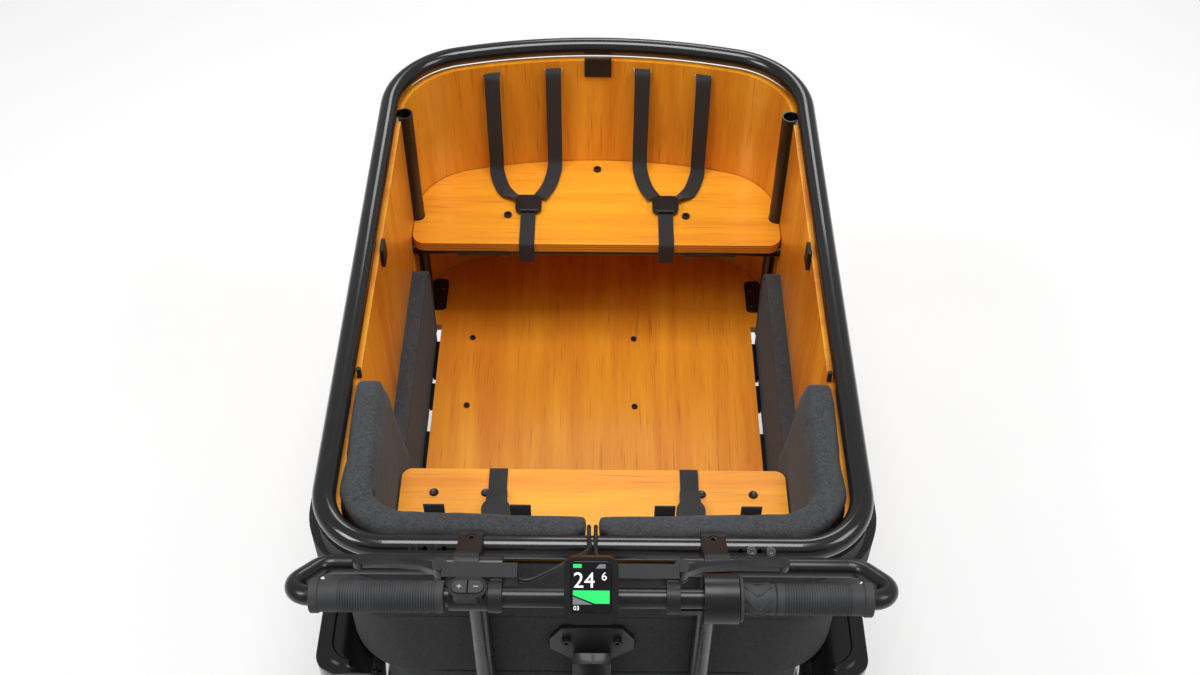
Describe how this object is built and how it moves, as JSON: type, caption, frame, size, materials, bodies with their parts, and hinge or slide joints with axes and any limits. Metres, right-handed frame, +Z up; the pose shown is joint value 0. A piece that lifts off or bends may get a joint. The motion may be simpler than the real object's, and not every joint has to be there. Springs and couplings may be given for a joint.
{
  "type": "cargo bicycle",
  "caption": "Three-wheeled cargo bicycle: felt and plywood child box on front wheels, steered by a rim handlebar and pushed by a belt-driven rear frame.",
  "frame": {"origin": "on the ground under the middle of the bicycle's length, on its centre plane", "axes": "+Y points forward in the riding direction, +X to the rider's right, +Z up"},
  "size_m": [0.734, 2.1912, 0.96],
  "materials": {
    "frame_paint": "gloss black paint",
    "bright_steel": "bare steel",
    "motor_case": "dark cast case",
    "drive_alloy": "satin alloy",
    "crank_black": "black anodised",
    "case_plastic": "matte black",
    "guard_plastic": "gloss black moulding",
    "red_lens": "red lens",
    "belt_rubber": "toothed belt",
    "saddle_cover": "black vinyl",
    "tyre_rubber": "black tyre",
    "wheel_alloy": "black rim, steel spokes",
    "grip_rubber": "ribbed rubber",
    "button_rubber": "soft keys",
    "plywood": "clear-coated plywood",
    "felt": "grey wool felt",
    "webbing": "black webbing",
    "screen": "lit display",
    "cable_jacket": "black hose"
  },
  "bodies": {
    "rear_frame": {"main_frame": "frame_paint", "rear_stays": "frame_paint", "pivot_bearings": "bright_steel", "motor_unit": "motor_case", "battery_pack": "case_plastic", "belt": "belt_rubber", "rear_mudguard": "guard_plastic", "rear_light": "red_lens", "rear_caliper": "frame_paint", "rear_axle": "bright_steel", "seat_clamp": "bright_steel"},
    "seat": {"seatpost": "crank_black", "saddle": "saddle_cover"},
    "crank": {"crank_set": "crank_black", "front_pulley": "drive_alloy"},
    "pedal_left": {"pedal_left": "crank_black"},
    "pedal_right": {"pedal_right": "crank_black"},
    "rear_pulley": {"rear_pulley": "drive_alloy"},
    "rear_wheel": {"rear_tyre": "tyre_rubber", "rear_wheel": "wheel_alloy"},
    "front_wheel_left": {"tyre_left": "tyre_rubber", "wheel_left": "wheel_alloy"},
    "front_wheel_right": {"tyre_right": "tyre_rubber", "wheel_right": "wheel_alloy"},
    "twist_grip": {"shifter_grip": "grip_rubber"},
    "brake_lever_left": {"brake_lever_left": "case_plastic"},
    "brake_lever_right": {"brake_lever_right": "case_plastic"},
    "plus_button": {"remote_plus": "button_rubber"},
    "minus_button": {"remote_minus": "button_rubber"},
    "rear_bench": {"rear_bench": "plywood", "crotch_straps": "webbing", "rear_buckles": "case_plastic"},
    "front_box": {"rim_tube": "frame_paint", "posts_and_crossbars": "frame_paint", "floor_frame": "frame_paint", "pivot_pin": "bright_steel", "floor_panel": "plywood", "front_panel": "plywood", "wall_panel": "plywood", "front_bench": "plywood", "bench_brackets": "frame_paint", "side_bolsters": "felt", "backrest_cushions": "felt", "outer_felt": "felt", "spine_plate": "frame_paint", "box_bolts": "bright_steel", "rim_clips": "case_plastic", "harness_straps": "webbing", "front_buckles": "case_plastic", "handlebar": "frame_paint", "bar_brackets": "frame_paint", "grips": "grip_rubber", "shifter_housing": "case_plastic", "brake_bodies": "case_plastic", "control_housings": "case_plastic", "display_screen": "screen", "cables": "cable_jacket", "mudguards": "guard_plastic", "front_calipers": "frame_paint", "headlight": "case_plastic"}
  },
  "joints": [
    {"name": "steering", "type": "hinge", "parent": "rear_frame", "child": "front_box", "pos_m": [0, 0.3084, 0.248], "axis": [0, 0, 1], "range_deg": [-35, 35]},
    {"name": "seat_height", "type": "slide", "parent": "rear_frame", "child": "seat", "axis": [0, -0.342, 0.9397], "range_m": [-0.08, 0.06]},
    {"name": "crank_spin", "type": "hinge", "parent": "rear_frame", "child": "crank", "pos_m": [0, -0.2916, 0.29], "axis": [1, 0, 0], "continuous": true},
    {"name": "pedal_left_spin", "type": "hinge", "parent": "crank", "child": "pedal_left", "pos_m": [-0.142, -0.4566, 0.29], "axis": [1, 0, 0], "continuous": true},
    {"name": "pedal_right_spin", "type": "hinge", "parent": "crank", "child": "pedal_right", "pos_m": [0.142, -0.1266, 0.29], "axis": [1, 0, 0], "continuous": true},
    {"name": "rear_pulley_spin", "type": "hinge", "parent": "rear_frame", "child": "rear_pulley", "pos_m": [0.05, -0.7516, 0.33], "axis": [1, 0, 0], "continuous": true},
    {"name": "rear_wheel_spin", "type": "hinge", "parent": "rear_frame", "child": "rear_wheel", "pos_m": [0, -0.7516, 0.33], "axis": [1, 0, 0], "continuous": true},
    {"name": "front_wheel_left_spin", "type": "hinge", "parent": "front_box", "child": "front_wheel_left", "pos_m": [-0.328, 0.4084, 0.254], "axis": [1, 0, 0], "continuous": true},
    {"name": "front_wheel_right_spin", "type": "hinge", "parent": "front_box", "child": "front_wheel_right", "pos_m": [0.328, 0.4084, 0.254], "axis": [1, 0, 0], "continuous": true},
    {"name": "twist_shift", "type": "hinge", "parent": "front_box", "child": "twist_grip", "pos_m": [0.179, 0.0044, 0.882], "axis": [1, 0, 0], "range_deg": [-50, 50]},
    {"name": "brake_left", "type": "hinge", "parent": "front_box", "child": "brake_lever_left", "pos_m": [-0.167, 0.0404, 0.879], "axis": [0, 0, 1], "range_deg": [0, 8], "stiffness_Nm_per_rad": 3},
    {"name": "brake_right", "type": "hinge", "parent": "front_box", "child": "brake_lever_right", "pos_m": [0.099, 0.0404, 0.879], "axis": [0, 0, -1], "range_deg": [0, 8], "stiffness_Nm_per_rad": 3},
    {"name": "plus_press", "type": "slide", "parent": "front_box", "child": "plus_button", "axis": [0, 0, -1], "range_m": [0, 0.001], "stiffness_N_per_m": 2000},
    {"name": "minus_press", "type": "slide", "parent": "front_box", "child": "minus_button", "axis": [0, 0, -1], "range_m": [0, 0.001], "stiffness_N_per_m": 2000},
    {"name": "rear_bench_fold", "type": "hinge", "parent": "front_box", "child": "rear_bench", "pos_m": [0, 0.2084, 0.622], "axis": [1, 0, 0], "range_deg": [0, 84]}
  ],
  "couplings": [
    {"joint": "rear_pulley_spin", "follows": "crank_spin", "ratio": 1.9091}
  ]
}
